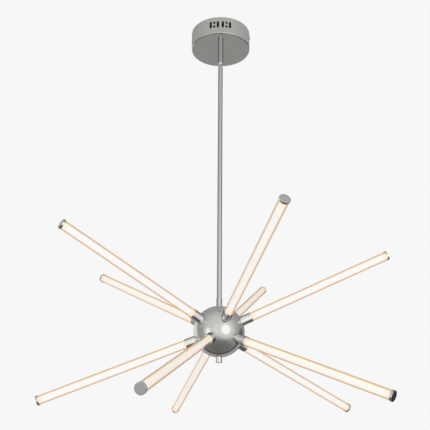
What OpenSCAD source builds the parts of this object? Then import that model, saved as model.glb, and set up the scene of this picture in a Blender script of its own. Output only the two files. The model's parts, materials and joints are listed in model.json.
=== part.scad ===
// Sputnik chandelier: ten glowing tubes in two rings round a ball, hung from a round ceiling canopy.
// Millimetres. The origin is the middle of the ceiling face, +Z is up and everything hangs below it.
// The first upper arm lies over +X, and the vents that face the room are on the -Y side.

/* [Overall] */
// Ceiling face to the middle of the hub ball
hang_drop = 802; // [650:1:1500]
// Middle of the hub ball to the tip of every arm
arm_reach = 445; // [300:1:600]
// Arms in each of the two rings
ring_arms = 5; // [3:1:6]
// Rise of the upper ring above level, in degrees
upper_ring_angle = 24.7; // [16:0.1:40]
// Fall of the lower ring below level, in degrees
lower_ring_angle = 21.2; // [16:0.1:40]

/* [Canopy] */
// Outer diameter of the canopy
canopy_d = 154; // [150:1:200]
// Height of the canopy
canopy_h = 48; // [42:1:70]
// Sheet thickness of the canopy
canopy_sheet = 1.2; // [0.8:0.1:2]
// Radius of the canopy's lower edge
canopy_edge_r = 2.4; // [1.3:0.1:4]
// Height of the side screws above the canopy's underside
side_screw_h = 26.4; // [20:0.1:32]

/* [Vents] */
// Width of a vent slot
vent_slot_w = 6; // [3:0.1:7]
// Height of a vent slot, end to end
vent_slot_h = 18.7; // [12:0.1:22]
// Diameter of a round vent
vent_dot_d = 6.4; // [3:0.1:8]
// Distance between the two round vents of a pair
vent_dot_gap = 11.1; // [8:0.1:13]
// Middle of the vents above the canopy's underside
vent_mid_h = 26.4; // [20:0.1:28]
// Distance between the middles of the two central slots
vent_centre_gap = 12.9; // [10:0.1:16]
// Distance from one vent column to the next
vent_pitch = 9.35; // [8:0.05:12]

/* [Mounting plate] */
// Width of the two ears that take the side screws
ear_w = 25; // [18:0.5:30]
// Thickness of the round plate and its ears
plate_t = 2; // [1.5:0.1:3]
// Depth of the ears below the side screws
ear_tail = 7; // [5:0.5:9]
// Turn of the ears and the side screws, in degrees, seen from above
ear_turn = -13; // [-20:1:20]
// Distance between the middles of the two ceiling screw slots
slot_spacing = 80; // [70:0.5:84]
// Length of a ceiling screw slot, end to end
slot_length = 20; // [12:0.5:24]
// Width of a ceiling screw slot
slot_w = 5.2; // [4:0.1:6.5]
// Wire hole in the middle of the plate
wire_hole_d = 16; // [12:0.5:17]

/* [Screws and nuts] */
// Outer diameter of every threaded pipe
pipe_d = 10; // [9:0.1:10.4]
// Bore of every threaded pipe
pipe_bore = 7; // [6:0.1:7.6]
// Width of a hex nut across its flats
nut_across = 14; // [12.5:0.1:15]
// Thickness of a hex nut
nut_h = 3; // [2:0.1:4]
// Diameter of a washer
washer_d = 18; // [16:0.5:22]
// Thickness of a washer
washer_h = 1; // [0.5:0.1:1.5]
// Shank of the side screws and of the ground screw
screw_d = 4; // [3:0.1:4.6]
// Head diameter of those screws
screw_head_d = 8; // [7:0.1:9]
// Head height of those screws
screw_head_h = 3; // [2:0.1:3.5]

/* [Swivel] */
// Diameter of the swivel ball
swivel_ball_d = 11.6; // [11.4:0.1:14]
// Wall of the swivel socket round its ball
swivel_wall = 1.15; // [0.8:0.05:3]
// Length of the swivel socket below the canopy
swivel_h = 40; // [32:0.5:60]
// Reach of the socket's lip past the middle of the ball
swivel_lip = 1.2; // [0.6:0.1:1.4]
// Diameter of the neck below the ball
neck_d = 6.8; // [6:0.1:7]
// Wire hole through ball and neck
neck_bore = 4; // [3.4:0.1:4.6]
// Middle of the ball down to the stem's shoulder
shoulder_drop = 9.6; // [7.6:0.1:12]
// Height of the rounded shoulder on top of the stem
shoulder_h = 5.2; // [3:0.1:5.5]
// Roundness of the shoulder beyond the stem's radius
shoulder_swell = 0.5; // [0.2:0.1:1]

/* [Stem] */
// Outer diameter of the stem tube
stem_d = 12; // [11.6:0.1:16]
// Wall of the collar round the stem's foot
collar_wall = 0.95; // [0.6:0.05:3]
// Height of the collar above the hub ball
collar_h = 18.5; // [14:0.5:40]
// Thread engagement of a pipe in the stem
pipe_grip = 12; // [8:0.5:20]

/* [Hub] */
// Diameter of the hub ball
hub_d = 120; // [110:1:160]
// Wall of the two half shells
hub_wall = 1.5; // [1:0.1:2.5]
// Height of the upper shell's spigot inside the lower shell
spigot_h = 4; // [2:0.5:6]
// Height of the spigot's root inside the upper shell
spigot_root = 8; // [7:0.5:9]
// Thickness of the spigot
spigot_t = 1.2; // [0.8:0.1:2]
// Hairline between the two half shells
seam = 0.1; // [0.05:0.05:0.5]
// Diameter of the finial under the ball
finial_d = 15; // [13:0.5:24]
// Height of the finial
finial_h = 12; // [8:0.5:24]
// Thickness of the finial's closed end
finial_end = 3; // [1.5:0.5:5]
// Diameter of the wiring board in the ball
board_d = 50; // [46:1:60]
// Thickness of the wiring board
board_t = 1.6; // [1:0.2:2]

/* [Arms] */
// Outer diameter of the clear tubes
tube_d = 21; // [20:0.5:26]
// Wall of the clear tubes
tube_wall = 3.5; // [1:0.1:4]
// Wall of the frosted sleeves inside the tubes
sleeve_wall = 1.4; // [1:0.1:2]
// Thickness of a light bar
bar_t = 2; // [1:0.1:3]
// Length of a socket beyond the ball's surface
socket_h = 23.5; // [16:0.5:40]
// Wall of a socket round its tube
socket_wall = 0.9; // [0.6:0.1:3]
// Thickness of a socket's floor on the ball
socket_floor = 4; // [3:0.5:6]
// Wall of an end cap round its tube
cap_wall = 1; // [0.6:0.1:3]
// Thickness of an end cap's face
cap_face = 1.5; // [1:0.1:3]
// Length of an end cap
cap_h = 5; // [4:0.1:12]
// Length of an arm's threaded pipe inside the ball
nipple_in = 10; // [8:0.5:14]

/* [Power] */
// Length of the light driver
driver_l = 96; // [80:1:100]
// Width of the light driver
driver_w = 37; // [30:0.5:38]
// Height of the light driver
driver_h = 24; // [20:0.5:28]
// Middle of the canopy to the driver's near side
driver_y = 15.5; // [13:0.5:17]
// Length of the terminal block
block_l = 30; // [24:0.5:40]
// Width of the terminal block
block_w = 17; // [14:0.5:20]
// Height of the terminal block
block_h = 12; // [10.5:0.5:16]
// Middle of the canopy to the terminal block's near side
block_y = 21; // [18:0.5:28]
// Diameter of a mains lead
mains_lead_d = 2.4; // [1.6:0.1:2.8]
// Diameter of the low voltage lead to the hub
low_lead_d = 3; // [2:0.1:3.2]
// Diameter of the lead to each arm
arm_lead_d = 2; // [1:0.1:3]

/* [Hidden] */
// Clearances and small shared sizes
running_gap = 0.05;
thread_gap = 0.05;
slip_gap = 0.05;
seat_gap = 0.05;
hole_gap = 0.2;
sleeve_gap = 0.1;
plate_gap = 0.3;
ear_inset = 0.5;
chamfer = 0.5;
cut_over = 1;
shell_cut_over = 10;

// Round shapes are drawn smooth
$fn = 96;

// Canopy
canopy_r = canopy_d / 2;
canopy_in_r = canopy_r - canopy_sheet;
canopy_floor_z = canopy_sheet - canopy_h;
side_screw_z = side_screw_h - canopy_h;
vent_z = vent_mid_h - canopy_h;
vent_sides = [-90, 90];
vent_columns = [0, 1, 2];

// Mounting plate, which closes the canopy and whose ears stand just inside the round wall
plate_r = canopy_in_r - plate_gap;
ear_out = sqrt(pow(plate_r, 2) - pow(ear_w / 2, 2)) - ear_inset;
ear_drop = ear_tail - side_screw_z;
screw_nose = 3;
ground_screw_x = 20;

// Threaded parts
pipe_r = pipe_d / 2;
pipe_bore_r = pipe_bore / 2;
thread_r = pipe_r + thread_gap;
pass_r = pipe_r + hole_gap;
nut_corner_r = nut_across / 2 / cos(30);
thread_lead = 1.3;
nipple_top = canopy_floor_z + washer_h + nut_h + thread_lead;
nipple_reach = 12;

// Swivel
swivel_ball_r = swivel_ball_d / 2;
swivel_z = swivel_lip - canopy_h - swivel_h;
swivel_r = swivel_ball_r + running_gap + swivel_wall;
swivel_throat_r = 4;
swivel_throat_z = -canopy_h - nipple_reach - thread_lead;

// Stem
stem_r = stem_d / 2;
stem_top = swivel_z - shoulder_drop - shoulder_h;
collar_r = stem_r + slip_gap + collar_wall;

// Hub
hub_r = hub_d / 2;
hub_in_r = hub_r - hub_wall;
hub_nut_seat = sqrt(pow(hub_in_r, 2) - pow(nut_corner_r, 2)) - seat_gap;
spigot_r = sqrt(pow(hub_in_r, 2) - pow(spigot_h, 2)) - slip_gap;
window_h = 10;
window_w = 5;
window_z = 4.5;

// Arms, measured along an arm's axis from the middle of the ball
tube_r = tube_d / 2;
tube_in_r = tube_r - tube_wall;
sleeve_r = tube_in_r - sleeve_gap;
sleeve_in_r = sleeve_r - sleeve_wall;
bar_gap = 0.3;
bar_w = 2 * (sqrt(pow(sleeve_in_r, 2) - pow(bar_t / 2, 2)) - bar_gap);
bar_end_gap = 2;
socket_r = tube_r + slip_gap + socket_wall;
cap_r = tube_r + slip_gap + cap_wall;
tube_from = hub_r + socket_floor;
tube_to = arm_reach - cap_face;

// Leads
lead_bend = 8;
lead_tail = 6;
lead_out_x = driver_l / 2 + lead_tail + lead_bend;
mains_lead_heights = [4.2, 7.6];
low_lead_height = 16;
hub_bend = 4;
arm_lead_start = 18;
boot_swell = 0.15;
low_lead_board_x = 13;
low_lead_cross_z = 8;
terminal_count = 3;
terminal_hole_d = 4;
terminal_hole_depth = 7;
driver_corner_r = 3;

ARM_NUMBERS = [for (k = [1:ring_arms]) k];
CENTRE_NODES = [
    "mounting_bracket", "canopy_cover", "canopy_side_screws", "ground_screw", "led_driver",
    "terminal_block", "mains_leads", "output_lead", "canopy_nipple", "canopy_washer", "canopy_nut",
    "swivel_socket", "swivel_ball", "stem_rod", "stem_collar", "stem_lead", "hub_upper_shell",
    "hub_lower_shell", "hub_center_rod", "hub_nuts", "hub_finial", "distribution_board", "hub_leads",
    "arm_nipples", "arm_nuts", "upper_sleeves", "lower_sleeves", "upper_light_bars", "lower_light_bars"
];

chrome = [0.72, 0.73, 0.72];
dark_chrome = [0.55, 0.56, 0.54];
steel = [0.78, 0.76, 0.7];
warm_white = [1, 0.97, 0.88];
clear_tint = [0.95, 0.88, 0.78, 0.45];

// Plain building shapes

// A pipe along Z from one height to another
module pipe(from, to, outer_r, bore_r) {
    difference() {
        translate([0, 0, from]) cylinder(r = outer_r, h = to - from);
        translate([0, 0, from - cut_over]) cylinder(r = bore_r, h = to - from + 2 * cut_over);
    }
}

// A hex nut with its lower face at z = 0
module hex_nut() {
    difference() {
        cylinder(r = nut_corner_r, h = nut_h, $fn = 6);
        translate([0, 0, -cut_over]) cylinder(r = thread_r, h = nut_h + 2 * cut_over);
    }
}

// A round ended slot through Z, centred, with its length along X
module slot_cut(length, width, depth) {
    run = length - width;
    translate([0, 0, -depth / 2]) linear_extrude(depth) union() {
        for (side = [-1, 1]) translate([side * run / 2, 0]) circle(d = width);
        translate([-run / 2, -width / 2]) square([run, width]);
    }
}

// A pan head screw along -Z, with the underside of its head at z = 0
module screw(shank) {
    translate([0, 0, -shank]) cylinder(d = screw_d, h = shank);
    cylinder(d = screw_head_d, h = screw_head_h - chamfer);
    translate([0, 0, screw_head_h - chamfer])
        cylinder(d1 = screw_head_d, d2 = screw_head_d - 2 * chamfer, h = chamfer);
}

// Part of a ring in the XY plane that bends a lead, from one angle through a turn
module lead_elbow(lead_d, bend, from, turn) {
    rotate([0, 0, from]) rotate_extrude(angle = turn) translate([bend, 0]) circle(d = lead_d);
}

// A straight lead along +X in the XY plane
module lead_along_x(lead_d, from, to, y) {
    translate([from, y, 0]) rotate([0, 90, 0]) cylinder(d = lead_d, h = to - from);
}

// A lead in the XY plane: out along +X, round two bends and back along -X
module lead_loop(lead_d, x_from, x_to, y_from, y_to) {
    x_bend = lead_out_x - lead_bend;
    lead_along_x(lead_d, x_from, x_bend, y_from);
    translate([x_bend, y_from - lead_bend, 0]) lead_elbow(lead_d, lead_bend, 0, 90);
    translate([lead_out_x, y_from - lead_bend, 0]) rotate([90, 0, 0])
        cylinder(d = lead_d, h = y_from - y_to - 2 * lead_bend);
    translate([x_bend, y_to + lead_bend, 0]) lead_elbow(lead_d, lead_bend, -90, 90);
    lead_along_x(lead_d, x_to, x_bend, y_to);
}

// Places its children with the hub ball's middle at their origin
module at_hub() {
    translate([0, 0, -hang_drop]) children();
}

// Azimuth and elevation of arm k of a ring
function arm_azimuth(ring, k) = (k - 1 + (ring == "lower" ? 1 / 2 : 0)) * 360 / ring_arms;
function arm_elevation(ring) = ring == "upper" ? upper_ring_angle : -lower_ring_angle;

// Turns +Z of its children along arm k of a ring
module along_arm(ring, k) {
    rotate([0, 90 - arm_elevation(ring), arm_azimuth(ring, k)]) children();
}

// The same for every arm of both rings
module along_every_arm() {
    for (ring = ["upper", "lower"], k = ARM_NUMBERS) along_arm(ring, k) children();
}

// Hub surface that sockets, collar and finial are hollowed to sit on
module hub_seat_cut() {
    sphere(r = hub_r + seat_gap);
}

// Canopy

module mounting_bracket() {
    color(steel) difference() {
        union() {
            translate([0, 0, -plate_t]) cylinder(r = plate_r, h = plate_t);
            for (side = [-1, 1]) rotate([0, 0, ear_turn])
                translate([side * (ear_out - plate_t / 2), 0, -ear_drop / 2])
                    cube([plate_t, ear_w, ear_drop], center = true);
        }
        for (side = [-1, 1]) {
            translate([side * slot_spacing / 2, 0, 0]) slot_cut(slot_length, slot_w, 4 * plate_t);
            rotate([0, 0, ear_turn]) translate([side * ear_out, 0, side_screw_z]) rotate([0, 90, 0])
                cylinder(d = screw_d + 2 * thread_gap, h = 4 * plate_t, center = true);
        }
        cylinder(d = wire_hole_d, h = 4 * plate_t, center = true);
        translate([ground_screw_x, 0, 0])
            cylinder(d = screw_d + 2 * thread_gap, h = 4 * plate_t, center = true);
    }
}

// Rotated outline of the canopy: flat underside, small round edge, straight wall
module canopy_profile(r, top, bottom, edge_r) {
    square_w = r - edge_r;
    translate([0, bottom]) square([square_w, top - bottom]);
    translate([0, bottom + edge_r]) square([r, top - bottom - edge_r]);
    translate([square_w, bottom + edge_r]) circle(r = edge_r);
}

// One column of vents: slots in the even columns, a pair of round holes in the odd ones
module vent_column(column) {
    if (column % 2 == 0) {
        slot_cut(vent_slot_h, vent_slot_w, 8 * canopy_sheet);
    } else {
        for (side = [-1, 1]) translate([side * vent_dot_gap / 2, 0, 0])
            cylinder(d = vent_dot_d, h = 8 * canopy_sheet, center = true);
    }
}

module canopy_cover() {
    color(dark_chrome) difference() {
        rotate_extrude() canopy_profile(canopy_r, 0, -canopy_h, canopy_edge_r);
        rotate_extrude()
            canopy_profile(canopy_in_r, cut_over, canopy_floor_z, canopy_edge_r - canopy_sheet);
        translate([0, 0, -canopy_h - cut_over]) cylinder(r = pass_r, h = canopy_sheet + 2 * cut_over);
        for (side = [-1, 1]) rotate([0, 0, ear_turn])
            translate([side * canopy_r, 0, side_screw_z]) rotate([0, 90, 0])
                cylinder(d = screw_d + 2 * hole_gap, h = 8 * canopy_sheet, center = true);
        for (facing = vent_sides, column = vent_columns, side = [-1, 1]) {
            along_wall = vent_centre_gap / 2 + column * vent_pitch;
            rotate([0, 0, facing + side * along_wall / canopy_r * 180 / PI])
                translate([canopy_r, 0, vent_z]) rotate([0, 90, 0]) vent_column(column);
        }
    }
}

module canopy_side_screws() {
    shank = canopy_r - ear_out + plate_t + screw_nose;
    color(chrome) for (side = [-1, 1]) rotate([0, 0, ear_turn])
        translate([side * canopy_r, 0, side_screw_z]) rotate([0, side * 90, 0]) screw(shank);
}

module ground_screw() {
    color("seagreen") translate([ground_screw_x, 0, -plate_t]) rotate([180, 0, 0]) screw(plate_t);
}

module led_driver() {
    core_l = driver_l - 2 * driver_corner_r;
    core_w = driver_w - 2 * driver_corner_r;
    color("whitesmoke") translate([0, driver_y + driver_w / 2, canopy_floor_z])
        linear_extrude(driver_h) union() {
            square([core_l, driver_w], center = true);
            square([driver_l, core_w], center = true);
            for (x = [-1, 1], y = [-1, 1]) translate([x * core_l / 2, y * core_w / 2])
                circle(r = driver_corner_r);
        }
}

module terminal_block() {
    pitch = block_l / terminal_count;
    color("ivory") difference() {
        translate([-block_l / 2, -block_y - block_w, canopy_floor_z]) cube([block_l, block_w, block_h]);
        for (i = [1:terminal_count])
            translate([(i - 1 / 2) * pitch - block_l / 2, -block_y - block_w / 2,
                canopy_floor_z + block_h - terminal_hole_depth])
                cylinder(d = terminal_hole_d, h = terminal_hole_depth + cut_over);
    }
}

module mains_leads() {
    color("tomato") for (height = mains_lead_heights)
        translate([0, 0, canopy_floor_z + height]) mirror([1, 0, 0])
            lead_loop(mains_lead_d, driver_l / 2, block_l / 2,
                driver_y + driver_w / 2, -block_y - block_w / 2);
}

module output_lead() {
    level = canopy_floor_z + low_lead_height;
    color("gainsboro") translate([0, 0, level]) {
        lead_loop(low_lead_d, driver_l / 2, lead_bend, driver_y + driver_w / 2, 0);
        translate([lead_bend, 0, -lead_bend]) rotate([90, 0, 0])
            lead_elbow(low_lead_d, lead_bend, 90, 90);
        translate([0, 0, -canopy_h - nipple_reach - level])
            cylinder(d = low_lead_d, h = level - lead_bend + canopy_h + nipple_reach);
    }
}

module canopy_nipple() {
    color("goldenrod") pipe(-canopy_h - nipple_reach, nipple_top, pipe_r, pipe_bore_r);
}

module canopy_washer() {
    color(steel) pipe(canopy_floor_z, canopy_floor_z + washer_h, washer_d / 2, pass_r);
}

module canopy_nut() {
    color(steel) translate([0, 0, canopy_floor_z + washer_h]) hex_nut();
}

// Swivel and stem

module swivel_socket() {
    socket_foot = -canopy_h - swivel_h;
    color(chrome) difference() {
        union() {
            translate([0, 0, socket_foot + chamfer]) cylinder(r = swivel_r, h = swivel_h - chamfer);
            translate([0, 0, socket_foot]) cylinder(r1 = swivel_r - chamfer, r2 = swivel_r, h = chamfer);
        }
        translate([0, 0, swivel_throat_z]) cylinder(r = thread_r, h = -swivel_throat_z);
        translate([0, 0, swivel_z]) cylinder(r = swivel_throat_r, h = swivel_throat_z - swivel_z + cut_over);
        translate([0, 0, swivel_z]) sphere(r = swivel_ball_r + running_gap);
    }
}

module swivel_ball() {
    color(chrome) difference() {
        union() {
            translate([0, 0, swivel_z]) sphere(r = swivel_ball_r);
            translate([0, 0, swivel_z - shoulder_drop - cut_over])
                cylinder(d = neck_d, h = shoulder_drop + cut_over);
            intersection() {
                translate([0, 0, stem_top]) cylinder(r = stem_r, h = shoulder_h);
                translate([0, 0, stem_top]) sphere(r = stem_r + shoulder_swell);
            }
            translate([0, 0, stem_top - pipe_grip]) cylinder(r = pipe_r, h = pipe_grip + cut_over);
        }
        translate([0, 0, stem_top - pipe_grip - cut_over])
            cylinder(d = neck_bore, h = swivel_z + swivel_ball_r - stem_top + pipe_grip + 2 * cut_over);
    }
}

module stem_rod() {
    stem_foot = hub_r - hub_wall - hang_drop;
    color(chrome) difference() {
        pipe(stem_foot, stem_top, stem_r, thread_r);
        at_hub() hub_seat_cut();
    }
}

module stem_collar() {
    foot = hub_r - hub_wall;
    color(chrome) at_hub() difference() {
        union() {
            pipe(foot, hub_r + collar_h - chamfer, collar_r, stem_r + slip_gap);
            difference() {
                translate([0, 0, hub_r + collar_h - chamfer])
                    cylinder(r1 = collar_r, r2 = collar_r - chamfer, h = chamfer);
                translate([0, 0, hub_r]) cylinder(r = stem_r + slip_gap, h = collar_h + cut_over);
            }
        }
        hub_seat_cut();
    }
}

// Low voltage lead: down the stem, out of the window in the hub's pipe and onto the board
module stem_lead() {
    cross_x = low_lead_board_x - hub_bend;
    color("gainsboro") at_hub() {
        translate([0, 0, low_lead_cross_z + hub_bend])
            cylinder(d = low_lead_d, h = hang_drop + swivel_z - low_lead_cross_z - hub_bend);
        translate([hub_bend, 0, low_lead_cross_z + hub_bend]) rotate([90, 0, 0])
            lead_elbow(low_lead_d, hub_bend, 180, 90);
        translate([0, 0, low_lead_cross_z]) lead_along_x(low_lead_d, hub_bend, cross_x, 0);
        translate([cross_x, 0, low_lead_cross_z - hub_bend]) rotate([90, 0, 0])
            lead_elbow(low_lead_d, hub_bend, 0, 90);
        translate([low_lead_board_x, 0, board_t / 2])
            cylinder(d = low_lead_d, h = low_lead_cross_z - hub_bend - board_t / 2);
    }
}

// Hub

// A hollow half ball above z = 0 with holes for the pole and for one ring of arms
module half_shell(ring) {
    difference() {
        sphere(r = hub_r);
        sphere(r = hub_in_r);
        translate([0, 0, -hub_r - shell_cut_over])
            cylinder(r = hub_r + shell_cut_over, h = hub_r + shell_cut_over);
        cylinder(r = pass_r, h = hub_r + shell_cut_over);
        for (k = ARM_NUMBERS) rotate([0, 90 - abs(arm_elevation(ring)), arm_azimuth(ring, k)])
            cylinder(r = pass_r, h = hub_r + shell_cut_over);
    }
}

module hub_upper_shell() {
    color(chrome) at_hub() union() {
        half_shell("upper");
        pipe(-spigot_h, spigot_root, spigot_r, spigot_r - spigot_t);
    }
}

module hub_lower_shell() {
    color(chrome) at_hub() difference() {
        mirror([0, 0, 1]) half_shell("lower");
        translate([0, 0, -seam]) cylinder(r = hub_r + shell_cut_over, h = 2 * seam);
    }
}

// The pipe that clamps the ball from pole to pole, with a window for the lead
module hub_center_rod() {
    color("goldenrod") at_hub() difference() {
        pipe(-hub_r - finial_h + finial_end, hub_r + pipe_grip, pipe_r, pipe_bore_r);
        translate([0, -window_w / 2, window_z]) cube([pipe_r + cut_over, window_w, window_h]);
    }
}

module hub_nuts() {
    color(steel) at_hub() for (z = [hub_nut_seat - nut_h, board_t / 2, -board_t / 2 - nut_h])
        translate([0, 0, z]) hex_nut();
}

module hub_finial() {
    color(chrome) at_hub() difference() {
        union() {
            translate([0, 0, chamfer - hub_r - finial_h])
                cylinder(d = finial_d, h = finial_h + hub_wall - chamfer);
            translate([0, 0, -hub_r - finial_h])
                cylinder(d1 = finial_d - 2 * chamfer, d2 = finial_d, h = chamfer);
        }
        translate([0, 0, finial_end - hub_r - finial_h]) cylinder(r = thread_r, h = finial_h);
        hub_seat_cut();
    }
}

module distribution_board() {
    color("darkgreen") at_hub() pipe(-board_t / 2, board_t / 2, board_d / 2, pass_r);
}

// A lead from the board up to the arm's axis, a shrink boot at the turn, and on to the light bar
module arm_lead(ring) {
    rise = abs(arm_elevation(ring));
    axis_z = arm_lead_start * tan(rise);
    axis_run = arm_lead_start / cos(rise);
    translate([arm_lead_start, 0, board_t / 2]) cylinder(d = arm_lead_d, h = axis_z - board_t / 2);
    translate([arm_lead_start, 0, axis_z]) sphere(r = arm_lead_d / 2 + boot_swell);
    rotate([0, 90 - rise, 0]) translate([0, 0, axis_run]) cylinder(d = arm_lead_d, h = tube_from - axis_run);
}

module hub_leads() {
    color("gainsboro") at_hub() for (k = ARM_NUMBERS) {
        rotate([0, 0, arm_azimuth("upper", k)]) arm_lead("upper");
        rotate([0, 0, arm_azimuth("lower", k)]) mirror([0, 0, 1]) arm_lead("lower");
    }
}

// Arms

module arm_nipples() {
    color("goldenrod") at_hub() along_every_arm() pipe(hub_r - nipple_in, tube_from, pipe_r, pipe_bore_r);
}

module arm_nuts() {
    color(steel) at_hub() along_every_arm() translate([0, 0, hub_nut_seat - nut_h]) hex_nut();
}

module socket(ring, k) {
    rim = hub_r + socket_h;
    color(chrome) at_hub() along_arm(ring, k) difference() {
        union() {
            translate([0, 0, hub_r - hub_wall]) cylinder(r = socket_r, h = socket_h + hub_wall - chamfer);
            translate([0, 0, rim - chamfer]) cylinder(r1 = socket_r, r2 = socket_r - chamfer, h = chamfer);
        }
        translate([0, 0, tube_from]) cylinder(r = tube_r + slip_gap, h = socket_h);
        translate([0, 0, hub_in_r - cut_over]) cylinder(r = thread_r, h = socket_h);
        hub_seat_cut();
    }
}

module tube(ring, k) {
    color(clear_tint) at_hub() along_arm(ring, k) pipe(tube_from, tube_to, tube_r, tube_in_r);
}

module end_cap(ring, k) {
    color(chrome) at_hub() along_arm(ring, k) difference() {
        union() {
            translate([0, 0, arm_reach - cap_h]) cylinder(r = cap_r, h = cap_h - chamfer);
            translate([0, 0, arm_reach - chamfer]) cylinder(r1 = cap_r, r2 = cap_r - chamfer, h = chamfer);
        }
        translate([0, 0, arm_reach - cap_h - cut_over])
            cylinder(r = tube_r + slip_gap, h = cap_h - cap_face + cut_over);
    }
}

module sleeves(ring) {
    color(warm_white) at_hub() for (k = ARM_NUMBERS) along_arm(ring, k)
        pipe(tube_from, tube_to, sleeve_r, sleeve_in_r);
}

module light_bars(ring) {
    bar_l = tube_to - bar_end_gap - tube_from;
    color("gold") at_hub() for (k = ARM_NUMBERS) along_arm(ring, k)
        translate([-bar_t / 2, -bar_w / 2, tube_from]) cube([bar_t, bar_w, bar_l]);
}

mounting_bracket();
canopy_cover();
canopy_side_screws();
ground_screw();
led_driver();
terminal_block();
mains_leads();
output_lead();
canopy_nipple();
canopy_washer();
canopy_nut();
swivel_socket();
swivel_ball();
stem_rod();
stem_collar();
stem_lead();
hub_upper_shell();
hub_lower_shell();
hub_center_rod();
hub_nuts();
hub_finial();
distribution_board();
hub_leads();
arm_nipples();
arm_nuts();
sleeves("upper");  // upper_sleeves
sleeves("lower");  // lower_sleeves
light_bars("upper");  // upper_light_bars
light_bars("lower");  // lower_light_bars
for (k = ARM_NUMBERS) {
    socket("upper", k);
    socket("lower", k);
    tube("upper", k);
    tube("lower", k);
    end_cap("upper", k);
    end_cap("lower", k);
}
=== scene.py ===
"""Looks of the sputnik chandelier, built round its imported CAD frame. Shapes are given in millimetres."""
import json
import math

import bpy
from mathutils import Matrix, Vector
from mathutils.geometry import delaunay_2d_cdt


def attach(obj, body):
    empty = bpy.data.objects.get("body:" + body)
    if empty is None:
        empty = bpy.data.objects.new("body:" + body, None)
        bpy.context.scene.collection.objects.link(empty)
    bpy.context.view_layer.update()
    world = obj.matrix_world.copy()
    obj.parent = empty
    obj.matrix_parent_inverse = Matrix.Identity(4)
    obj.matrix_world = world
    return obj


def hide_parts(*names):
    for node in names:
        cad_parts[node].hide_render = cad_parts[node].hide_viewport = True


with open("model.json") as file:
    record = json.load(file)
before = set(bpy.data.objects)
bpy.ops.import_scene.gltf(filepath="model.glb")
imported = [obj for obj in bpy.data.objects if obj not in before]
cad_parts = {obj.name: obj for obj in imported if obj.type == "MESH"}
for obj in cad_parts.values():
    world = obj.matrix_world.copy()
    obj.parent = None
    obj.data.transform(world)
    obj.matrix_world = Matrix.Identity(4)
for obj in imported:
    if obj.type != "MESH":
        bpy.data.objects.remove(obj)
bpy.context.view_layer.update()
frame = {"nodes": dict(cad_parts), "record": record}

MM = 0.001

# Sizes of the part, as in the CAD
CANOPY_R, CANOPY_IN_R, CANOPY_H, CANOPY_FLOOR = 77.0, 75.8, 48.0, 46.8
CANOPY_EDGE_R = 2.4
PASS_R, THREAD_R = 5.2, 5.05
VENT_Z, VENT_SLOT_W, VENT_SLOT_H, VENT_DOT_D, VENT_DOT_GAP = -21.6, 6.0, 18.7, 6.4, 11.1
VENT_CENTRE_GAP, VENT_PITCH = 12.9, 9.35
SIDE_SCREW_Z, SIDE_SCREW_TURN, SCREW_R, SCREW_SHANK, SCREW_HEAD_R, SCREW_HEAD_H = -21.6, -13.0, 2.0, 9.0, 4.0, 3.0
SWIVEL_R, SWIVEL_FOOT, SWIVEL_Z, SWIVEL_BALL_R = 7.0, -88.0, -86.8, 5.8
SWIVEL_BORE_R, SWIVEL_BORE_TOP, SWIVEL_THROAT = 4.0, -61.3, -82.5
SWIVEL_SEAT_R, SWIVEL_LIP_R, SWIVEL_LIP = 5.85, 5.73, -84.5
NECK_R, KNUCKLE_BORE_R, SHOULDER_TOP, SHOULDER_BALL_R = 3.4, 2.0, -96.4, 6.5
STEM_TOP, STEM_R, PLUG_R, PLUG_H = -101.6, 6.0, 5.0, 12.0
COLLAR_R, COLLAR_TOP = 7.0, -723.5
HUB_Z, HUB_R, HUB_IN_R = -802.0, 60.0, 58.5
SPIGOT_R, SPIGOT_IN_R, SPIGOT_FOOT, SPIGOT_ROOT, SEAM = 58.3, 57.1, -4.0, 8.0, 0.03
FINIAL_R, FINIAL_H, FINIAL_END = 7.5, 12.0, 3.0
SOCKET_R, SOCKET_FLOOR, SOCKET_RIM = 11.45, 64.0, 83.5
TUBE_R, TUBE_IN_R, TUBE_FIT, TUBE_END = 10.5, 7.0, 0.05, 443.5
SLEEVE_R, SLEEVE_IN_R = 6.9, 5.5
CAP_R, CAP_FROM, ARM_REACH = 11.55, 440.0, 445.0
UPPER_ANGLE, LOWER_ANGLE, RING_ARMS = 24.7, -21.2, 5

# Roundings of edges, from the finest to the fullest
SEAM_EDGE, TINY_EDGE, HAIR_EDGE, FINE_EDGE, CUT_EDGE, THIN_EDGE, SOFT_EDGE, FULL_EDGE = (
    0.03, 0.1, 0.15, 0.2, 0.25, 0.3, 0.5, 0.6)


# Camera, at the photograph's place

camera_data = bpy.data.cameras.new("camera")
camera_data.sensor_width = 36.0
camera_data.lens = 53.8
camera_data.shift_x = -0.0005
camera_data.shift_y = 0.0814
camera_data.clip_end = 200.0
camera = bpy.data.objects.new("camera", camera_data)
right = Vector((0.9998, 0.01578, 0.00719))
down = Vector((0.00246, 0.28142, -0.95961))
ahead = Vector((-0.0172, 0.95948, 0.28128))
turn = Matrix((right, -down, -ahead)).transposed().to_4x4()
camera.matrix_world = Matrix.Translation((0.0165, -1.4971, -1.042)) @ turn
bpy.context.scene.collection.objects.link(camera)
bpy.context.scene.camera = camera
bpy.context.scene.view_settings.view_transform = "Standard"


# Materials

# Sockets of a Mix node that share their names: its two colours and the colour that it gives, then the same for numbers
MIX_COLORS, MIX_COLOR_OUT = (6, 7), 2
MIX_FIRST, MIX_SECOND, MIX_OUT = 2, 3, 0


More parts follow.
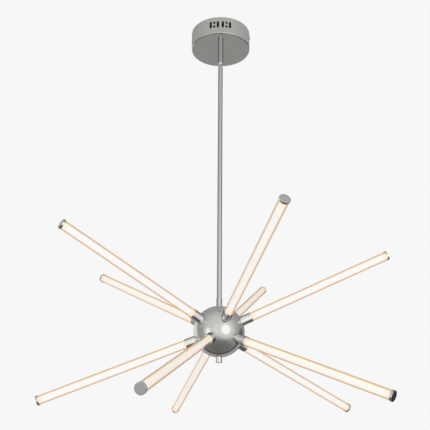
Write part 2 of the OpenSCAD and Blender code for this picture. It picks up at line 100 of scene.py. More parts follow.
class Look:
    """A node material with a Principled shader and short ways to vary it."""

    def __init__(self, name, color, metallic=0.0, roughness=0.5, **inputs):
        self.material = bpy.data.materials.new(name)
        self.material.use_nodes = True
        self.nodes = self.material.node_tree.nodes
        self.links = self.material.node_tree.links
        self.shader = self.nodes["Principled BSDF"]
        self.set("Base Color", (*color, 1.0))
        self.set("Metallic", metallic)
        self.set("Roughness", roughness)
        for key, value in inputs.items():
            self.set(key.replace("_", " "), value)
        self.coords = self.nodes.new("ShaderNodeTexCoord")

    def set(self, name, value):
        self.shader.inputs[name].default_value = value

    def node(self, kind, **values):
        made = self.nodes.new(kind)
        for key, value in values.items():
            setattr(made, key, value)
        return made

    def noise(self, scale, detail=4.0, stretch=None):
        made = self.node("ShaderNodeTexNoise")
        made.inputs["Scale"].default_value = scale
        made.inputs["Detail"].default_value = detail
        source = self.coords.outputs["Object"]
        if stretch:
            mapping = self.node("ShaderNodeMapping")
            mapping.inputs["Scale"].default_value = stretch
            self.links.new(source, mapping.inputs["Vector"])
            source = mapping.outputs["Vector"]
        self.links.new(source, made.inputs["Vector"])
        return made.outputs["Fac"]

    def spread(self, source, low, high, from_low=0.35, from_high=0.65):
        made = self.node("ShaderNodeMapRange")
        for key, value in (("From Min", from_low), ("From Max", from_high), ("To Min", low), ("To Max", high)):
            made.inputs[key].default_value = value
        self.links.new(source, made.inputs["Value"])
        return made.outputs["Result"]

    def mix(self, factor, first, second):
        made = self.node("ShaderNodeMix", data_type="RGBA")
        self.links.new(factor, made.inputs["Factor"])
        for key, value in zip(MIX_COLORS, (first, second)):
            if isinstance(value, tuple):
                made.inputs[key].default_value = (*value, 1.0)
            else:
                self.links.new(value, made.inputs[key])
        return made.outputs[MIX_COLOR_OUT]

    def vary_roughness(self, scale, low, high, stretch=None):
        self.links.new(self.spread(self.noise(scale, 3.0, stretch), low, high), self.shader.inputs["Roughness"])
        return self

    def vary_color(self, scale, first, second, stretch=None):
        factor = self.spread(self.noise(scale, 5.0, stretch), 0.0, 1.0)
        self.links.new(self.mix(factor, first, second), self.shader.inputs["Base Color"])
        return self

    def bump(self, height, strength, distance):
        made = self.node("ShaderNodeBump")
        made.inputs["Strength"].default_value = strength
        made.inputs["Distance"].default_value = distance
        self.links.new(height, made.inputs["Height"])
        self.links.new(made.outputs["Normal"], self.shader.inputs["Normal"])
        return self


def chrome(name, color, low, high, handled):
    """Plated metal: even, with faint cloudy wiping marks and a trace of polishing grain."""
    look = Look(name, color, 1.0, low)
    look.vary_roughness(60.0, low, high)
    look.vary_color(25.0, color, tuple(handled * c for c in color))
    return look.bump(look.noise(2500.0, 2.0), 0.02, 0.00002)


# Plated parts that are seen, and the inside of the canopy, painted near black as the shade seen through the vents
canopy_chrome = chrome("canopy_chrome", (0.33, 0.34, 0.32), 0.05, 0.09, 0.97)
canopy_chrome.set("Metallic", 0.1)
canopy_face = chrome("canopy_face", (0.58, 0.59, 0.56), 0.04, 0.07, 0.97)
# near-black inside of the cup: painted shade, so that the vents look dark
canopy_inside_painted_shade = Look("canopy_inside_painted_shade", (0.02, 0.02, 0.02), 0.0, 0.7)
canopy_inside_painted_shade.vary_color(80.0, (0.02, 0.02, 0.02), (0.03, 0.03, 0.028))
hub_chrome = chrome("hub_chrome", (0.64, 0.635, 0.62), 0.07, 0.1, 0.98)
hub_chrome.set("Metallic", 0.8)
trim_chrome = chrome("trim_chrome", (0.7, 0.7, 0.69), 0.02, 0.04, 0.96)
socket_chrome = chrome("socket_chrome", (0.86, 0.86, 0.85), 0.02, 0.04, 0.96)
socket_chrome.set("Specular Tint", (0.02, 0.02, 0.02, 1.0))
knuckle_chrome = chrome("knuckle_chrome", (0.9, 0.9, 0.89), 0.1, 0.13, 0.96)
swivel_chrome = chrome("swivel_chrome", (0.85, 0.85, 0.85), 0.1, 0.13, 0.98)
swivel_chrome.set("Specular Tint", (0.05, 0.05, 0.05, 1.0))

# Walls of the sockets and caps inside, with the tube's glow painted on them as warm emission
painted_glow_inside = Look("painted_glow_inside", (0.8, 0.7, 0.55), 0.0, 0.5, Emission_Color=(1.0, 0.8, 0.55, 1.0), Emission_Strength=0.6)
painted_glow_inside.vary_color(150.0, (0.8, 0.7, 0.55), (0.7, 0.6, 0.45))

# Stem and collar, with grain along their length
stem_chrome = Look("stem_chrome", (0.49, 0.49, 0.475), 1.0, 0.1)
stem_chrome.vary_roughness(300.0, 0.08, 0.14, (1.0, 1.0, 0.02))
stem_chrome.vary_color(90.0, (0.49, 0.49, 0.475), (0.46, 0.46, 0.445), (1.0, 1.0, 0.05))
stem_chrome.bump(stem_chrome.noise(1800.0, 3.0, (1.0, 1.0, 0.02)), 0.05, 0.00003)

# Clear acrylic: its warm tint comes from the depth of the wall that is looked through, and a warm glow is painted into
# the wall as emission in its volume
clear_tube = Look("clear_tube", (1.0, 1.0, 1.0), 0.0, 0.0, Transmission_Weight=1.0, IOR=1.3)
absorb = clear_tube.node("ShaderNodeVolumeAbsorption")
absorb.inputs["Color"].default_value = (0.63, 0.38, 0.13, 1.0)
absorb.inputs["Density"].default_value = 120.0
# painted glow: warm emission inside the acrylic wall, added to its absorption
painted_wall_glow = clear_tube.node("ShaderNodeEmission")
painted_wall_glow.inputs["Color"].default_value = (1.0, 0.9, 0.6, 1.0)
painted_wall_glow.inputs["Strength"].default_value = 22.0
depth_and_painted_glow = clear_tube.node("ShaderNodeAddShader")
clear_tube.links.new(absorb.outputs["Volume"], depth_and_painted_glow.inputs[0])
clear_tube.links.new(painted_wall_glow.outputs["Emission"], depth_and_painted_glow.inputs[1])
clear_tube.links.new(depth_and_painted_glow.outputs["Shader"], clear_tube.nodes["Material Output"].inputs["Volume"])

# Frosted sleeve: the glow, warmer along one side and at both ends
GRAIN_LEVEL = 0.98
GLOW, GLOW_SIDE, GLOW_END = (0.9, 1.05, 1.24), (0.99, 1.12, 0.94), (1.0, 0.88, 0.66)
frosted = Look("frosted_sleeve", (0.2, 0.19, 0.17), 0.0, 0.45)
warm_side = frosted.node("ShaderNodeAttribute", attribute_name="warm_side")
warm_end = frosted.node("ShaderNodeAttribute", attribute_name="warm_end")
grain = frosted.spread(frosted.noise(500.0, 3.0), 0.0, 1.0)
grain = frosted.mix(grain, GLOW, tuple(GRAIN_LEVEL * c for c in GLOW))
glow = frosted.mix(warm_side.outputs["Fac"], grain, GLOW_SIDE)
glow = frosted.mix(warm_end.outputs["Fac"], glow, GLOW_END)
frosted.links.new(glow, frosted.shader.inputs["Emission Color"])
frosted.set("Emission Strength", 1.0)
frosted.bump(frosted.noise(1500.0, 3.0), 0.15, 0.00005)

# Pieces inside
zinc_steel = Look("zinc_steel", (0.6, 0.61, 0.6), 1.0, 0.35)
zinc_steel.vary_color(120.0, (0.66, 0.66, 0.64), (0.52, 0.54, 0.56))
zinc_steel.vary_roughness(160.0, 0.28, 0.45)
zinc_steel.bump(zinc_steel.noise(400.0), 0.1, 0.0001)
pipe_brass = Look("pipe_brass", (0.75, 0.55, 0.27), 1.0, 0.3)
pipe_brass.vary_color(150.0, (0.78, 0.58, 0.3), (0.62, 0.43, 0.2))
pipe_brass.vary_roughness(300.0, 0.2, 0.4)
ground_green = Look("ground_green", (0.02, 0.28, 0.09), 0.0, 0.35, Coat_Weight=0.4)
ground_green.vary_color(300.0, (0.02, 0.3, 0.1), (0.015, 0.22, 0.07))
driver_white = Look("driver_white", (0.8, 0.8, 0.78), 0.0, 0.45)
driver_white.vary_color(60.0, (0.82, 0.82, 0.8), (0.76, 0.76, 0.73))
driver_white.bump(driver_white.noise(1200.0), 0.25, 0.0001)
block_ivory = Look("block_ivory", (0.78, 0.72, 0.58), 0.0, 0.4, Subsurface_Weight=0.1, Subsurface_Scale=0.002)
block_ivory.vary_color(90.0, (0.8, 0.74, 0.6), (0.73, 0.67, 0.52))
board_green = Look("board_green", (0.03, 0.2, 0.08), 0.0, 0.3, Coat_Weight=0.5)
board_green.vary_color(220.0, (0.03, 0.22, 0.09), (0.02, 0.15, 0.06))
lead_red = Look("lead_red", (0.6, 0.05, 0.03), 0.0, 0.42)
lead_red.vary_color(200.0, (0.62, 0.05, 0.035), (0.5, 0.035, 0.025))
lead_grey = Look("lead_grey", (0.55, 0.55, 0.54), 0.0, 0.45)
lead_grey.vary_color(200.0, (0.58, 0.58, 0.57), (0.48, 0.48, 0.47))
light_bar = Look("light_bar", (0.85, 0.84, 0.8), 0.0, 0.4)
light_bar.vary_color(400.0, (0.86, 0.85, 0.81), (0.9, 0.72, 0.3))

LOOKS = {
    "canopy_chrome": canopy_chrome, "hub_chrome": hub_chrome, "trim_chrome": trim_chrome,
    "stem_chrome": stem_chrome, "clear_tube": clear_tube, "frosted_sleeve": frosted,
    "zinc_steel": zinc_steel, "pipe_brass": pipe_brass, "ground_green": ground_green,
    "driver_white": driver_white, "block_ivory": block_ivory, "board_green": board_green,
    "lead_red": lead_red, "lead_grey": lead_grey, "light_bar": light_bar,
}


# Mesh building

ARC_STEPS, LONG_ARC_STEPS, BALL_STEPS, BALL_IN_STEPS, SADDLE_STEPS = 6, 24, 96, 48, 8
SEGMENTS_LARGE, SEGMENTS_TUBE, SEGMENTS, SEGMENTS_SMALL = 240, 128, 96, 64
TINY, SAME_POINT, POINT_DIGITS = 1e-6, 1e-5, 4


def turned(x, y, angle):
    return x * math.cos(angle) - y * math.sin(angle), x * math.sin(angle) + y * math.cos(angle)


def outline(corners):
    """A closed outline in (r, z), counterclockwise, from (r, z, fillet) corners. Gives (r, z, normal r, normal z)."""
    points = []
    for i, (r, z, fillet) in enumerate(corners):
        r_before, z_before, _ = corners[i - 1]
        r_after, z_after, _ = corners[(i + 1) % len(corners)]
        u = Vector((r - r_before, z - z_before)).normalized()
        v = Vector((r_after - r, z_after - z)).normalized()
        normal_in, normal_out = (u.y, -u.x), (v.y, -v.x)
        bend = math.atan2(u.x * v.y - u.y * v.x, u.dot(v))
        if fillet == 0.0 or abs(bend) < TINY:
            points += [(r, z, *normal_in), (r, z, *normal_out)]
            continue
        side = math.copysign(1.0, bend)
        reach = fillet * math.tan(abs(bend) / 2)
        start = Vector((r, z)) - u * reach
        centre = start - Vector(normal_in) * side * fillet
        for k in range(ARC_STEPS + 1):
            normal = Vector(turned(*normal_in, bend * k / ARC_STEPS))
            points.append((*(centre + normal * side * fillet), *normal))
    return points


def arc(z_centre, radius, r_from, r_to, side, steps=LONG_ARC_STEPS, outward=1.0):
    """Points of a circle on the axis, from one r to another. side is 1 above its centre and -1 below."""
    first, last = math.acos(r_from / radius), math.acos(r_to / radius)
    points = []
    for k in range(steps + 1):
        angle = first + (last - first) * k / steps
        c, s = math.cos(angle), side * math.sin(angle)
        points.append((radius * c, z_centre + radius * s, outward * c, outward * s))
    return points


class Shell:
    """Collects faces with the true normal at each corner and makes one smooth mesh of them."""

    def __init__(self):
        self.points, self.known, self.faces, self.normals = [], {}, [], []

    def index(self, point):
        key = tuple(round(c, POINT_DIGITS) for c in point)
        if key not in self.known:
            self.known[key] = len(self.points)
            self.points.append(Vector(point) * MM)
        return self.known[key]

    def face(self, points, normals):
        ids, kept = [], []
        for i, n in zip([self.index(p) for p in points], normals):
            if i not in ids:
                ids.append(i)
                kept.append(Vector(n).normalized())
        if len(ids) > 2:
            self.faces.append(ids)
            self.normals += kept

    def revolve(self, loop, segments=SEGMENTS, skip=None):
        """Turns a loop round the axis, without the faces that skip names."""
        for i, p in enumerate(loop):
            q = loop[(i + 1) % len(loop)]
            if math.dist(p[:2], q[:2]) < SAME_POINT or max(p[0], q[0]) < TINY:
                continue
            for j in range(segments):
                if skip and skip(p, q, j):
                    continue
                a, b = (2 * math.pi * k / segments for k in (j, (j + 1) % segments))
                corners = ((p, a), (p, b), (q, b), (q, a))
                middle = 2 * math.pi * (j + 0.5) / segments
                self.face(
                    [(*turned(c[0], 0.0, angle), c[1]) for c, angle in corners],
                    [(*turned(c[2], 0.0, middle if c[0] < TINY else angle), c[3]) for c, angle in corners],
                )
        return self

    def piece(self, name, look, body, slot, nodes, place=None, pick=None, other_looks=()):
        """Makes the object, which rides on its body in place of CAD nodes. pick chooses each face's look."""
        mesh = bpy.data.meshes.new(name)
        mesh.from_pydata(self.points, [], self.faces)
        mesh.shade_smooth()
        mesh.normals_split_custom_set(self.normals)
        mesh.materials.append(look.material)
        for other in other_looks:
            mesh.materials.append(other.material)
        if pick:
            for polygon in mesh.polygons:
                polygon.material_index = pick(*(polygon.center / MM))
        made = bpy.data.objects.new(name, mesh)
        bpy.context.scene.collection.objects.link(made)
        if place is not None:
            made.matrix_world = place
        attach(made, body)
        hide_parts(*nodes)
        return made


# Canopy cup with its vents

VENT_FACINGS = (-math.pi / 2, math.pi / 2)
VENT_TURN = math.radians(24.0)
VENT_LOW, VENT_HIGH, VENT_ROW = -34.0, -9.0, 2.5
VENT_ARC, VENT_CLEAR, VENT_COLUMNS = 12, 0.35, 3
WALL_SKIN, FLOOR_SKIN = 0.3, 0.05


def vent_shapes():
    """The vents of one side, unrolled: (along the wall, z of the two ends' middles, radius)."""
    half = (VENT_SLOT_H - VENT_SLOT_W) / 2
    shapes = []
    for side in (-1, 1):
        for column in range(VENT_COLUMNS):
            s = side * (VENT_CENTRE_GAP / 2 + column * VENT_PITCH)
            if column % 2:
                for z in (-VENT_DOT_GAP / 2, VENT_DOT_GAP / 2):
                    shapes.append((s, VENT_Z + z, VENT_Z + z, VENT_DOT_D / 2))
            else:
                shapes.append((s, VENT_Z - half, VENT_Z + half, VENT_SLOT_W / 2))
    return shapes


def vent_distance(shape, s, z):
    """How far a point of the unrolled wall lies outside a vent."""
    return math.hypot(s - shape[0], z - min(max(z, shape[1]), shape[2])) - shape[3]


def vent_outline(shape):
    """Points round a vent: two half circles, or one full circle for a dot."""
    s, low, high, radius = shape
    ring = [(high, k) for k in range(VENT_ARC + 1)] + [(low, k + VENT_ARC) for k in range(VENT_ARC + 1)]
    ring = ring if high > low else [(low, k) for k in range(2 * VENT_ARC)]
    angles = [(z, math.pi * k / VENT_ARC) for z, k in ring]
    return [(s + radius * math.cos(angle), z + radius * math.sin(angle)) for z, angle in angles]


def vent_sector(shell, facing):
    """The wall round the vents of one side, inside and outside, and the edges of the vents."""
    step = 2 * math.pi / SEGMENTS_LARGE
    count = round(VENT_TURN / step)
    columns = [CANOPY_R * step * k for k in range(-count, count + 1)]
    shapes = vent_shapes()
    flat = [(s, VENT_LOW) for s in columns] + [(s, VENT_HIGH) for s in reversed(columns)]
    edges = [(k, (k + 1) % len(flat)) for k in range(len(flat))]
    rings = [vent_outline(shape) for shape in shapes]
    for ring in rings:
        start = len(flat)
        flat += ring
        edges += [(start + k, start + (k + 1) % len(ring)) for k in range(len(ring))]
    rows = round((VENT_HIGH - VENT_LOW) / VENT_ROW)
    for s in columns[1:-1]:
        for k in range(1, rows):
            z = VENT_LOW + VENT_ROW * k
            if min(vent_distance(shape, s, z) for shape in shapes) > VENT_CLEAR:
                flat.append((s, z))
    points, _, faces, *_ = delaunay_2d_cdt([Vector(p) for p in flat], edges, [], 0, TINY)

    def on_wall(p, radius):
        angle = facing + p[0] / CANOPY_R
        return (*turned(radius, 0.0, angle), p[1]), (*turned(1.0, 0.0, angle), 0.0)

    for face in faces:
        corners = [points[k] for k in face]
        middle = sum(corners, Vector((0.0, 0.0))) / 3
        if min(vent_distance(shape, *middle) for shape in shapes) < 0:
            continue
        if (corners[1] - corners[0]).cross(corners[2] - corners[0]) < 0:
            corners.reverse()
        outer = [on_wall(p, CANOPY_R) for p in corners]
        inner = [on_wall(p, CANOPY_IN_R) for p in reversed(corners)]
        shell.face([p for p, _ in outer], [n for _, n in outer])
        shell.face([p for p, _ in inner], [tuple(-c for c in n) for _, n in inner])
    for shape, ring in zip(shapes, rings):
        for k, p in enumerate(ring):
            q = ring[(k + 1) % len(ring)]
            around = ((p, CANOPY_R), (q, CANOPY_R), (q, CANOPY_IN_R), (p, CANOPY_IN_R))
            corners = [on_wall(point, radius)[0] for point, radius in around]
            inward = []
            for s, z in (p, q, q, p):
                ds, dz = shape[0] - s, min(max(z, shape[1]), shape[2]) - z
                angle = facing + s / CANOPY_R
                inward.append((-ds * math.sin(angle), ds * math.cos(angle), dz))
            shell.face(corners, inward)


def canopy():
    shell = Shell()
    loop = outline([
        (PASS_R, -CANOPY_H, FINE_EDGE), (CANOPY_R, -CANOPY_H, CANOPY_EDGE_R),
        (CANOPY_R, VENT_LOW, 0.0), (CANOPY_R, VENT_HIGH, 0.0), (CANOPY_R, 0.0, CUT_EDGE),
        (CANOPY_IN_R, 0.0, CUT_EDGE), (CANOPY_IN_R, VENT_HIGH, 0.0), (CANOPY_IN_R, VENT_LOW, 0.0),
        (CANOPY_IN_R, -CANOPY_FLOOR, CANOPY_EDGE_R - (CANOPY_R - CANOPY_IN_R)), (PASS_R, -CANOPY_FLOOR, FINE_EDGE),
    ])

    def in_sector(p, q, j):
        if {p[1], q[1]} != {VENT_LOW, VENT_HIGH}:
            return False
        angle = 2 * math.pi * (j + 0.5) / SEGMENTS_LARGE
        return any(abs(math.remainder(angle - f, 2 * math.pi)) < VENT_TURN for f in VENT_FACINGS)

    shell.revolve(loop, SEGMENTS_LARGE, in_sector)
    for facing in VENT_FACINGS:
        vent_sector(shell, facing)

    def pick(x, y, z):
        """0 on the wall, 1 on the underside and 2 inside, which takes the painted shade."""
        if math.hypot(x, y) < CANOPY_R - WALL_SKIN and -CANOPY_FLOOR - FLOOR_SKIN < z < -WALL_SKIN:
            return 2
        return int(z < CANOPY_EDGE_R - CANOPY_H)

    return shell.piece("canopy_cup", canopy_chrome, "canopy", "canopy_chrome", ["canopy_cover"],
                       pick=pick, other_looks=[canopy_face, canopy_inside_painted_shade])


canopy()


# Side screws with a cross recess

RECESS = ((0.3, 2.3, 0.55), (-2.0, 0.9, 0.3))    # above the head's face, and half the wing's length and width
SCREW_EDGE, SHARP_ANGLE = 1.3, math.radians(35.0)


def cross_cutter(name):
    """A four winged wedge, wide at the top and narrow at its foot."""
    mesh = bpy.data.meshes.new(name)
    points, faces = [], []
    for wing in range(2):
        base = len(points)
        for z, long_half, short_half in RECESS:
            for x, y in ((-1, -1), (1, -1), (1, 1), (-1, 1)):
                p = turned(x * long_half, y * short_half, wing * math.pi / 2)
                points.append(Vector((*p, z + SCREW_HEAD_H)) * MM)
        quads = ((0, 1, 2, 3), (7, 6, 5, 4), (4, 5, 1, 0), (5, 6, 2, 1), (6, 7, 3, 2), (7, 4, 0, 3))
        faces += [[base + k for k in quad] for quad in quads]
    mesh.from_pydata(points, [], faces)
    return bpy.data.objects.new(name, mesh)


def side_screw(name, side):
    shell = Shell().revolve(outline([
        (0.0, -SCREW_SHANK, 0.0), (SCREW_R, -SCREW_SHANK, SOFT_EDGE), (SCREW_R, 0.0, HAIR_EDGE),
        (SCREW_HEAD_R, 0.0, FINE_EDGE), (SCREW_HEAD_R, SCREW_HEAD_H, SCREW_EDGE), (0.0, SCREW_HEAD_H, 0.0),
    ]), SEGMENTS_SMALL)
    place = (
        Matrix.Rotation(math.radians(SIDE_SCREW_TURN), 4, "Z")
        @ Matrix.Translation((side * CANOPY_R * MM, 0.0, SIDE_SCREW_Z * MM))
        @ Matrix.Rotation(side * math.pi / 2, 4, "Y")
    )
    made = shell.piece(name, trim_chrome, "canopy", "trim_chrome", ["canopy_side_screws"], place)
    cutter = cross_cutter(name + "_cutter")
    bpy.context.scene.collection.objects.link(cutter)
    cutter.matrix_world = place
    cut = made.modifiers.new("recess", "BOOLEAN")
    cut.operation, cut.solver, cut.object = "DIFFERENCE", "EXACT", cutter
    cut.use_self = True
    bpy.context.view_layer.update()
    result = bpy.data.meshes.new_from_object(made.evaluated_get(bpy.context.evaluated_depsgraph_get()))
    made.modifiers.clear()
    made.data = result
    result.set_sharp_from_angle(angle=SHARP_ANGLE)
    bpy.data.objects.remove(cutter)


side_screw("side_screw_right", 1)
side_screw("side_screw_left", -1)


# Swivel, stem and collar

Shell().revolve(outline([
    (THREAD_R, SWIVEL_BORE_TOP, 0.0), (SWIVEL_BORE_R, SWIVEL_BORE_TOP, 0.0), (SWIVEL_BORE_R, SWIVEL_THROAT, 0.0),
    (SWIVEL_LIP_R, SWIVEL_LIP, 0.0), (SWIVEL_SEAT_R, SWIVEL_Z, 0.0), (SWIVEL_LIP_R, SWIVEL_FOOT, 0.0),
    (SWIVEL_R, SWIVEL_FOOT, FULL_EDGE), (SWIVEL_R, -CANOPY_H, FINE_EDGE), (THREAD_R, -CANOPY_H, 0.0),
])).piece("swivel_cup", swivel_chrome, "swivel", "trim_chrome", ["swivel_socket"])

NECK_TOP = SWIVEL_Z - math.sqrt(SWIVEL_BALL_R ** 2 - NECK_R ** 2)
BORE_TOP = SWIVEL_Z + math.sqrt(SWIVEL_BALL_R ** 2 - KNUCKLE_BORE_R ** 2)
SHOULDER_R = math.sqrt(SHOULDER_BALL_R ** 2 - (SHOULDER_TOP - STEM_TOP) ** 2)
PLUG_FOOT = STEM_TOP - PLUG_H
SHOULDER_STEP = 1.0
swivel_lower = outline([
    (KNUCKLE_BORE_R, PLUG_FOOT, 0.0), (PLUG_R, PLUG_FOOT, THIN_EDGE), (PLUG_R, STEM_TOP, 0.0),
    (STEM_R, STEM_TOP, CUT_EDGE), (STEM_R, STEM_TOP + SHOULDER_STEP, 0.0),
])
swivel_loop = (
    swivel_lower[:-1]
    + arc(STEM_TOP, SHOULDER_BALL_R, STEM_R, SHOULDER_R, 1)
    + [(SHOULDER_R, SHOULDER_TOP, 0.0, 1.0), (NECK_R, SHOULDER_TOP, 0.0, 1.0)]
    + [(NECK_R, SHOULDER_TOP, 1.0, 0.0), (NECK_R, NECK_TOP, 1.0, 0.0)]
    + arc(SWIVEL_Z, SWIVEL_BALL_R, NECK_R, SWIVEL_BALL_R, -1)
    + arc(SWIVEL_Z, SWIVEL_BALL_R, SWIVEL_BALL_R, KNUCKLE_BORE_R, 1)
    + [(KNUCKLE_BORE_R, BORE_TOP, -1.0, 0.0), (KNUCKLE_BORE_R, PLUG_FOOT, -1.0, 0.0)]
)
Shell().revolve(swivel_loop, SEGMENTS_SMALL).piece(
    "swivel_knuckle", knuckle_chrome, "hung_light", "trim_chrome", ["swivel_ball"])

STEM_FOOT = HUB_Z + HUB_R
STEM_IN_SINK, STEM_SINK = 0.1, 0.2
Shell().revolve(outline([
    (THREAD_R, STEM_FOOT - STEM_IN_SINK, 0.0), (STEM_R, STEM_FOOT - STEM_SINK, 0.0),
    (STEM_R, STEM_TOP, CUT_EDGE), (THREAD_R, STEM_TOP, FINE_EDGE),
])).piece("stem_tube", stem_chrome, "hung_light", "stem_chrome", ["stem_rod"])

COLLAR_FOOT = HUB_Z + math.sqrt(HUB_R ** 2 - COLLAR_R ** 2)
COLLAR_IN_LIFT, COLLAR_LIFT = 0.15, 0.02
Shell().revolve(outline([
    (STEM_R + TUBE_FIT, COLLAR_FOOT + COLLAR_IN_LIFT, 0.0), (COLLAR_R, COLLAR_FOOT + COLLAR_LIFT, HAIR_EDGE),
    (COLLAR_R, COLLAR_TOP, SOFT_EDGE), (STEM_R + TUBE_FIT, COLLAR_TOP, HAIR_EDGE),
])).piece("stem_foot_collar", stem_chrome, "hung_light", "stem_chrome", ["stem_collar"])


# Hub ball in two halves, and its finial

RIM_REACH, UPPER_START, LOWER_START = 0.5, 0.15, 0.25
upper = outline([
    (SPIGOT_IN_R, SPIGOT_ROOT, 0.0), (SPIGOT_IN_R, SPIGOT_FOOT, FINE_EDGE), (SPIGOT_R, SPIGOT_FOOT, FINE_EDGE),
    (SPIGOT_R, 0.0, 0.0), (HUB_R, 0.0, SEAM_EDGE), (HUB_R, RIM_REACH, 0.0),
])
upper_loop = [(r, z + HUB_Z, a, b) for r, z, a, b in upper[:-2]]
upper_loop += arc(HUB_Z, HUB_R, math.sqrt(HUB_R ** 2 - UPPER_START ** 2), PASS_R, 1, BALL_STEPS)
upper_loop += arc(HUB_Z, HUB_IN_R, PASS_R, math.sqrt(HUB_IN_R ** 2 - SPIGOT_ROOT ** 2), 1, BALL_IN_STEPS, -1.0)
Shell().revolve(upper_loop, SEGMENTS_LARGE).piece(
    "ball_upper_half", hub_chrome, "hung_light", "hub_chrome", ["hub_upper_shell"])
lower_loop = arc(HUB_Z, HUB_R, PASS_R, math.sqrt(HUB_R ** 2 - LOWER_START ** 2), -1, BALL_STEPS)
rim = outline([
    (HUB_R, -RIM_REACH, 0.0), (HUB_R, -SEAM, SEAM_EDGE), (HUB_IN_R, -SEAM, 0.0), (HUB_IN_R, -RIM_REACH, 0.0),
])
lower_loop += [(r, z + HUB_Z, a, b) for r, z, a, b in rim[2:-2]]
lower_loop += arc(HUB_Z, HUB_IN_R, math.sqrt(HUB_IN_R ** 2 - SEAM ** 2), PASS_R, -1, BALL_IN_STEPS, -1.0)
Shell().revolve(lower_loop, SEGMENTS_LARGE).piece(
    "ball_lower_half", hub_chrome, "hung_light", "hub_chrome", ["hub_lower_shell"])

FINIAL_FOOT = HUB_Z - HUB_R - FINIAL_H
FINIAL_HEAD = HUB_Z - math.sqrt(HUB_R ** 2 - FINIAL_R ** 2)
FINIAL_DISH = 0.3
Shell().revolve(outline([
    (0.0, FINIAL_FOOT, 0.0), (FINIAL_R, FINIAL_FOOT, FULL_EDGE), (FINIAL_R, FINIAL_HEAD, TINY_EDGE),
    (THREAD_R, FINIAL_HEAD - FINIAL_DISH, 0.0), (THREAD_R, FINIAL_FOOT + FINIAL_END, 0.0),
    (0.0, FINIAL_FOOT + FINIAL_END, 0.0),
])).piece("finial_button", trim_chrome, "hung_light", "trim_chrome", ["hub_finial"])


# Arms

def arm_place(elevation, azimuth):
    """Turns +Z along an arm and puts the origin at the ball's middle."""
    return (
        Matrix.Translation((0.0, 0.0, HUB_Z * MM))
        @ Matrix.Rotation(math.radians(azimuth), 4, "Z")
        @ Matrix.Rotation(math.radians(90.0 - elevation), 4, "Y")
    )


def saddle(r):
    """How far from the ball's middle a socket's foot sits on the ball, at a distance from the arm's axis."""
    return math.sqrt((HUB_R + TUBE_FIT) ** 2 - r ** 2)


def socket_loop():
    upper_part = outline([
        (SOCKET_R, HUB_R, 0.0), (SOCKET_R, SOCKET_RIM, SOFT_EDGE), (TUBE_R + TUBE_FIT, SOCKET_RIM, FINE_EDGE),
        (TUBE_R + TUBE_FIT, SOCKET_FLOOR, 0.0), (THREAD_R, SOCKET_FLOOR, 0.0), (THREAD_R, HUB_R, 0.0),
    ])[2:-2]
    foot = arc(0.0, HUB_R + TUBE_FIT, THREAD_R, SOCKET_R, 1, SADDLE_STEPS, -1.0)
    return foot + [(SOCKET_R, saddle(SOCKET_R), 1.0, 0.0)] + upper_part + [(THREAD_R, saddle(THREAD_R), -1.0, 0.0)]


SOCKET_LOOP = socket_loop()
TUBE_LOOP = outline([
    (TUBE_IN_R, SOCKET_FLOOR, FINE_EDGE), (TUBE_R, SOCKET_FLOOR, THIN_EDGE),
    (TUBE_R, TUBE_END, THIN_EDGE), (TUBE_IN_R, TUBE_END, FINE_EDGE),
])
CAP_LOOP = outline([
    (TUBE_R + TUBE_FIT, CAP_FROM, HAIR_EDGE), (CAP_R, CAP_FROM, FINE_EDGE), (CAP_R, ARM_REACH, FULL_EDGE),
    (0.0, ARM_REACH, 0.0), (0.0, TUBE_END, 0.0), (TUBE_R + TUBE_FIT, TUBE_END, 0.0),
])
LIT_MARGIN = 0.1


def faces_tube(x, y, z):
    """1 on the walls and floors of cups and caps, where the tube's glow is painted, else 0."""
    inside = math.hypot(x, y) < TUBE_R + LIT_MARGIN
    return int(inside and SOCKET_FLOOR - LIT_MARGIN < z < TUBE_END + LIT_MARGIN)


SLEEVE_ROWS, SLEEVE_GAP = 48, 0.1
GLOW_TOWARDS = Vector((-0.55, 0.0, 0.83)).normalized()
WARM_FROM, WARM_FULL = 0.25, 0.9
END_REACH = 9.0


def sleeve_loop():
    """A thin tube in many rows, so that the glow can change along it."""
    foot, head = SOCKET_FLOOR + SLEEVE_GAP, TUBE_END - SLEEVE_GAP
    rows = [foot + (head - foot) * k / SLEEVE_ROWS for k in range(SLEEVE_ROWS + 1)]
    return outline([(SLEEVE_IN_R, foot, 0.0)] + [(SLEEVE_R, z, 0.0) for z in rows] + [(SLEEVE_IN_R, head, 0.0)])


def smoothstep(value, low, high):
    t = min(max((value - low) / (high - low), 0.0), 1.0)
    return t * t * (3 - 2 * t)


def mark_glow(piece, place):
    """Stores where a sleeve glows warmer: along the side that faces up and left, and near both ends."""
    side = piece.data.attributes.new("warm_side", "FLOAT", "POINT")
    end = piece.data.attributes.new("warm_end", "FLOAT", "POINT")
    spin = place.to_3x3()
    for k, vertex in enumerate(piece.data.vertices):
        out = spin @ Vector((vertex.co.x, vertex.co.y, 0.0)).normalized()
        side.data[k].value = smoothstep(out.dot(GLOW_TOWARDS), WARM_FROM, WARM_FULL)
        z = vertex.co.z / MM
        near = min(z - SOCKET_RIM, CAP_FROM - z)
        end.data[k].value = 1.0 - smoothstep(near, 0.0, END_REACH)


